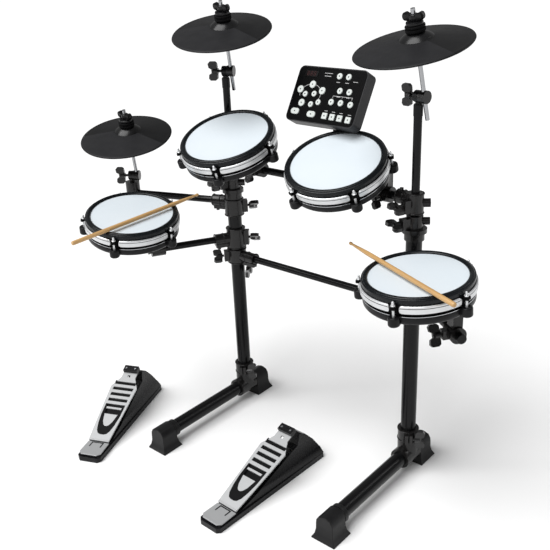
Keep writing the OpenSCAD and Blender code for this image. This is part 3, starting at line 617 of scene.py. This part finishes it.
lips("post_clamp_lips", "stand", [(p, COLLAR_R, 442.2, 483.8) for p in (left, right_post)]
     + [(p, COLLAR_R, 86.2, 117.8) for p in (left, right_post)]
     + [(sleeve(left, 463, 0), SLEEVE_R, 40, 70), (sleeve(right_post, 463, 180), SLEEVE_R, 40, 70)])
# Arms: name, post, height of the tube, heading, collar's low and high end
ARMS = (("hat", left, 620, 198.5, 582.3, 629.3), ("tom3", left, 516, -120, 487, 545),
        ("snare", right_post, 500, -35.7, 486.6, 535.4))
for arm, post, z, way, low, high in ARMS:
    lips(arm + "_tee_lips", arm + "_support",
         [(post, COLLAR_R, low + 0.2, high - 0.2), (sleeve(post, z, way), SLEEVE_R, 36, 62)])
lips("mast_clamp_lips", "upper_rack", [(p @ shift(0, 0, 725), 19.5, -32, 16) for p in (left, right_post)]
     + [(sleeve(left, 725, 0), 16.5, 26, 46), (sleeve(right_post, 725, 180), 16.5, 26, 46)])

# ---------------------------------------------------------------- sound module
face = module_frame()
cad_copy("module_case", "module_body", M["case"], "module", "case_plastic", 2.2, segments=3)
cad_copy("module_panel", "module_face", M["panel"], "module", "panel_plastic", 0.5)
cad_copy("module_display", "module_window", M["glass"], "module", "display_glass", 0.5)
cad_copy("module_board", "module_circuit", M["pcb"], "module", "board_fibre", 0.3)
cad_copy("module_bracket", "module_arm", M["clamp"], "upper_rack", "clamp_plastic", 1.2)
cad_copy("pad_keys", "pad_select_keys", M["key"], "pad_keys", "key_plastic", 1.3, segments=3)
cad_copy("menu_keys", "menu_select_keys", M["key"], "menu_keys", "key_plastic", 1.3, segments=3)


def strip(bm, pts, width, z=1.0):
    """A thin raised line through (x, y) points on the module's face."""
    for (x0, y0), (x1, y1) in zip(pts, pts[1:]):
        d = Vector((x1 - x0, y1 - y0))
        turn = math.degrees(math.atan2(d.y, d.x))
        half = width / 2
        start = face @ shift(x0, y0, z) @ rot("Z", turn)
        box_into(bm, start, (-half, -half, 0), (d.length + half, half, 0.3))


def at_face(u, v):
    return (u * MODULE_W / 2, v * MODULE_H / 2)


def key_marks(node, body):
    """A small dark dot on the top of every key of the node."""
    bm = bmesh.new()
    bm.from_mesh(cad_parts[node].data)
    bmesh.ops.transform(bm, matrix=face.inverted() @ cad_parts[node].matrix_world, verts=bm.verts)
    bmesh.ops.remove_doubles(bm, verts=bm.verts, dist=1e-5)
    left_over = set(bm.verts)
    tops = []
    while left_over:
        island, stack = [], [left_over.pop()]
        while stack:
            v = stack.pop()
            island.append(v.co.copy())
            for e in v.link_edges:
                w = e.other_vert(v)
                if w in left_over:
                    left_over.remove(w)
                    stack.append(w)
        lo = [min(c[k] for c in island) / MM for k in range(3)]
        hi = [max(c[k] for c in island) / MM for k in range(3)]
        tops.append(((lo[0] + hi[0]) / 2, (lo[1] + hi[1]) / 2, hi[2]))
    bm.free()
    bm = bmesh.new()
    for x, y, z in tops:
        lathe_into(bm, face @ shift(x, y, z - 0.1), [(0, 0), (1.7, 0), (1.7, 0.35), (0, 0.35)], 12)
    finish_lathe(bm)
    done(from_bm(node + "_marks", bm, M["panel"]), body, "key_plastic")


key_marks("pad_keys", "pad_keys")
key_marks("menu_keys", "menu_keys")


bm = bmesh.new()
ring = [math.radians(d) for d in range(-25, 206, 11)]
strip(bm, [at_face(-0.46 + 0.31 * math.cos(a), 0.35 * math.sin(a)) for a in ring], 0.9)
for u0, u1 in ((0.22, 0.49), (0.49, 0.77)):
    strip(bm, [at_face(u0, -0.06), at_face(u0, 0.02), at_face(u1, 0.02), at_face(u1, -0.06)], 0.9)
# Short bars by the keys: middle on the face, as shares of its half width and height, and length in mm
BARS = ((0.24, 0.5, 9), (0.5, 0.5, 9), (0.37, 0.0, 8), (0.64, 0.0, 8), (-0.1, 0.78, 22), (-0.1, 0.68, 18),
        (0.15, -0.52, 8), (0.37, -0.53, 8), (0.59, -0.54, 8), (0.83, -0.56, 8), (0.72, 0.56, 12))
for u, v, w in BARS:
    x, y = at_face(u, v)
    strip(bm, [(x - w / 2, y), (x + w / 2, y)], 1.1)
done(from_bm("module_print_lines", bm, M["print"]), "module", "key_plastic")

DIGIT_AT, DIGIT_STEP, DIGIT_HALF = (-71, 50), 10, (2.6, 4.6)
BAR_W, DISPLAY_TOP = 0.9, 1.65
bm = bmesh.new()
for i in range(3):
    x, y = DIGIT_AT[0] + DIGIT_STEP * i, DIGIT_AT[1]
    w, h = DIGIT_HALF
    box = [(x - w, y - h), (x - w, y + h), (x + w, y + h), (x + w, y - h), (x - w, y - h)]
    strip(bm, box, BAR_W, DISPLAY_TOP)
    strip(bm, [(x - w, y), (x + w, y)], BAR_W, DISPLAY_TOP)
done(from_bm("display_digit_bars", bm, M["digit"]), "module", "display_glass")

# ---------------------------------------------------------------- pedals
INLAY_OUT = [(30.5, 120), (29.5, 82), (25.5, 52), (20, 31), (13.5, 21), (6, 18)]
INLAY_IN = [(25.5, 120), (20, 84), (14.5, 61), (8.5, 50), (4, 46.5)]
SLOT_BACK = [(-27, 82), (27, 82), (31, 108), (36, 165), (37, 206), (-37, 206), (-36, 165), (-31, 108)]
SCREW = [(0, 0.0), (3.2, 0.0), (3.2, 0.9), (2.6, 1.5), (0, 1.6)]
for board in PEDALS:
    base = pedal_frame(board)
    deck = base @ shift(0, *BOARD_HINGE) @ rot("X", BOARD_SLOPE)
    back = deck.inverted()

    def board_part(c, n):
        v = back @ c / MM
        return 1 if (v.y > BOARD_L - 21 and v.z > 4.6) else 0
    cad_copy(board, board + "_deck", [M["plate"], M["base"]], board, "pedal_plate", 0.9, classify=board_part)
    bm = bmesh.new()
    out = INLAY_OUT + [(-x, y) for x, y in INLAY_OUT[::-1]]
    inn = INLAY_IN + [(0, 45.6)] + [(-x, y) for x, y in INLAY_IN[::-1]]
    zs = (3.95, 4.3)
    vo = [[bm.verts.new(deck @ (Vector((x, y, z)) * MM)) for x, y in out] for z in zs]
    k = len(out)
    inn_r = [inn[round(i * (len(inn) - 1) / (k - 1))] for i in range(k)]
    vi = [[bm.verts.new(deck @ (Vector((x, y, z)) * MM)) for x, y in inn_r] for z in zs]
    for i in range(k - 1):
        bm.faces.new([vo[1][i], vo[1][i + 1], vi[1][i + 1], vi[1][i]])
        bm.faces.new([vo[0][i], vi[0][i], vi[0][i + 1], vo[0][i + 1]])
        bm.faces.new([vo[0][i], vo[0][i + 1], vo[1][i + 1], vo[1][i]])
        bm.faces.new([vi[0][i], vi[1][i], vi[1][i + 1], vi[0][i + 1]])
    bmesh.ops.remove_doubles(bm, verts=bm.verts, dist=1e-6)
    extrude_into(bm, deck, SLOT_BACK, -1.4, -0.4)
    for x in (-14, 14):
        lathe_into(bm, deck @ shift(x, BOARD_L - 10, 14), SCREW, 20, mat=1)
    done(from_bm(board + "_inlay", bm, [M["inlay"], M["bolt"]]), board, "pedal_base")

cad_copy("pedal_bases", "pedal_housings", M["base"], "stand", "pedal_base", 1.6, segments=3)
cad_copy("heel_plates", "heel_covers", M["plate"], "stand", "pedal_plate", 0.9)
bm = bmesh.new()
for board in PEDALS:
    base = pedal_frame(board)
    for x0, y0, x1 in ((-14.6, 57.4, 14.6), (-17.8, 40, -14.6), (14.6, 40, 17.8)):
        box_into(bm, base, (x0, y0, 21.2), (x1, 60.6, 21.5))
done(from_bm("heel_tab_lines", bm, M["inlay"]), "stand", "pedal_base")

# ---------------------------------------------------------------- sticks
STICK_R = 5.3
STICK_L, RIM_TOP, LIFT = 385, 5, 0.3
# Profile of a stick from butt to tip: (share of its radius, distance in mm)
STICK = [(0, 0), (0.67, 0.1), (0.9, 1.2), (1, 3.2), (1, 305), (0.955, 315), (0.79, 338), (0.61, 360),
         (0.51, 370), (0.49, 373), (0.6, 375), (0.72, 377.6), (0.75, 379.6), (0.7, 382), (0.52, 384),
         (0.24, 384.9), (0, STICK_L)]


def stick(name, pad_name, heading, offset, along):
    butt = shift(along - STICK_L / 2, offset, RIM_TOP + STICK_R + LIFT)
    f = pad_frame(pad_name) @ rot("Z", heading) @ butt @ rot("Y", 90)
    bm = bmesh.new()
    lathe_into(bm, Matrix.Identity(4), [(r * STICK_R, z) for r, z in STICK], 40, closed=False)
    finish_lathe(bm)
    o = from_bm(name + "_maple", bm, M["wood"], 60)
    o.matrix_world = f
    done(o, name, "wood", name)


stick("stick_left", "tom3", 84.5, -44, -9)
stick("stick_right", "snare", 156, 34, 24)

# ---------------------------------------------------------------- floor, lights, camera
floor_mat = Mat("studio_floor")
floor_mat.set(Base_Color=floor_mat.grey(floor_mat.noise(0.8, 3), 0.86, 0.88), Roughness=0.75,
              Specular_IOR_Level=0.2)
bm = bmesh.new()
bmesh.ops.create_grid(bm, x_segments=2, y_segments=2, size=45)
floor = from_bm("studio_floor_sheet", bm, floor_mat.m)

world = bpy.data.worlds.new("studio")
bpy.context.scene.world = world
world.use_nodes = True
world.node_tree.nodes["Background"].inputs["Color"].default_value = (1, 1, 1, 1)
world.node_tree.nodes["Background"].inputs["Strength"].default_value = 0.27


def area(name, pos, target, size, power, size_y=None):
    lamp = bpy.data.lights.new(name, "AREA")
    lamp.energy = power
    lamp.size = size
    if size_y:
        lamp.shape = "RECTANGLE"
        lamp.size_y = size_y
    o = bpy.data.objects.new(name, lamp)
    bpy.context.scene.collection.objects.link(o)
    o.location = pos
    o.rotation_euler = (Vector(target) - Vector(pos)).to_track_quat("-Z", "Y").to_euler()
    return o


area("left_strip", (-1.9, -1.5, 1.9), (0, 0, 0.6), 0.14, 7, 2.4)
area("front_strip", (1.3, -3.2, 2.4), (0, 0, 0.6), 0.14, 8, 2.0)
area("back_strip", (1.6, 1.9, 2.2), (0, 0, 0.7), 0.14, 6, 2.2)
sun = bpy.data.lights.new("soft_sun", "SUN")
sun.energy = 3.7
sun.angle = math.radians(50)
sun_obj = bpy.data.objects.new("soft_sun", sun)
bpy.context.scene.collection.objects.link(sun_obj)
sun_obj.rotation_euler = Vector((0.22, 0.55, -1.0)).to_track_quat("-Z", "Y").to_euler()

# Camera solved from the posts, base tubes and pad ellipses: place from the rack in mm, and lens in mm
CAMERA_AT, LENS = (1134.9, -1440.9, 1260.2), 50.22
AZ, PITCH, ROLL = math.radians(41.63), math.radians(23.21), math.radians(-2.6)
look = Vector((-math.sin(AZ) * math.cos(PITCH), math.cos(AZ) * math.cos(PITCH), -math.sin(PITCH)))
right = Vector((math.cos(AZ), math.sin(AZ), 0))
up = right.cross(look)
right2 = math.cos(ROLL) * right + math.sin(ROLL) * up
up2 = -math.sin(ROLL) * right + math.cos(ROLL) * up
cam_data = bpy.data.cameras.new("camera")
cam_data.lens = LENS
cam_data.sensor_width = 36
cam_data.clip_end = 200
cam = bpy.data.objects.new("camera", cam_data)
bpy.context.scene.collection.objects.link(cam)
m3 = Matrix((right2, up2, -look)).transposed().to_4x4()
cam.matrix_world = Matrix.Translation(RACK + Vector(CAMERA_AT) * MM) @ m3
bpy.context.scene.camera = cam
bpy.context.scene.view_settings.view_transform = "Standard"
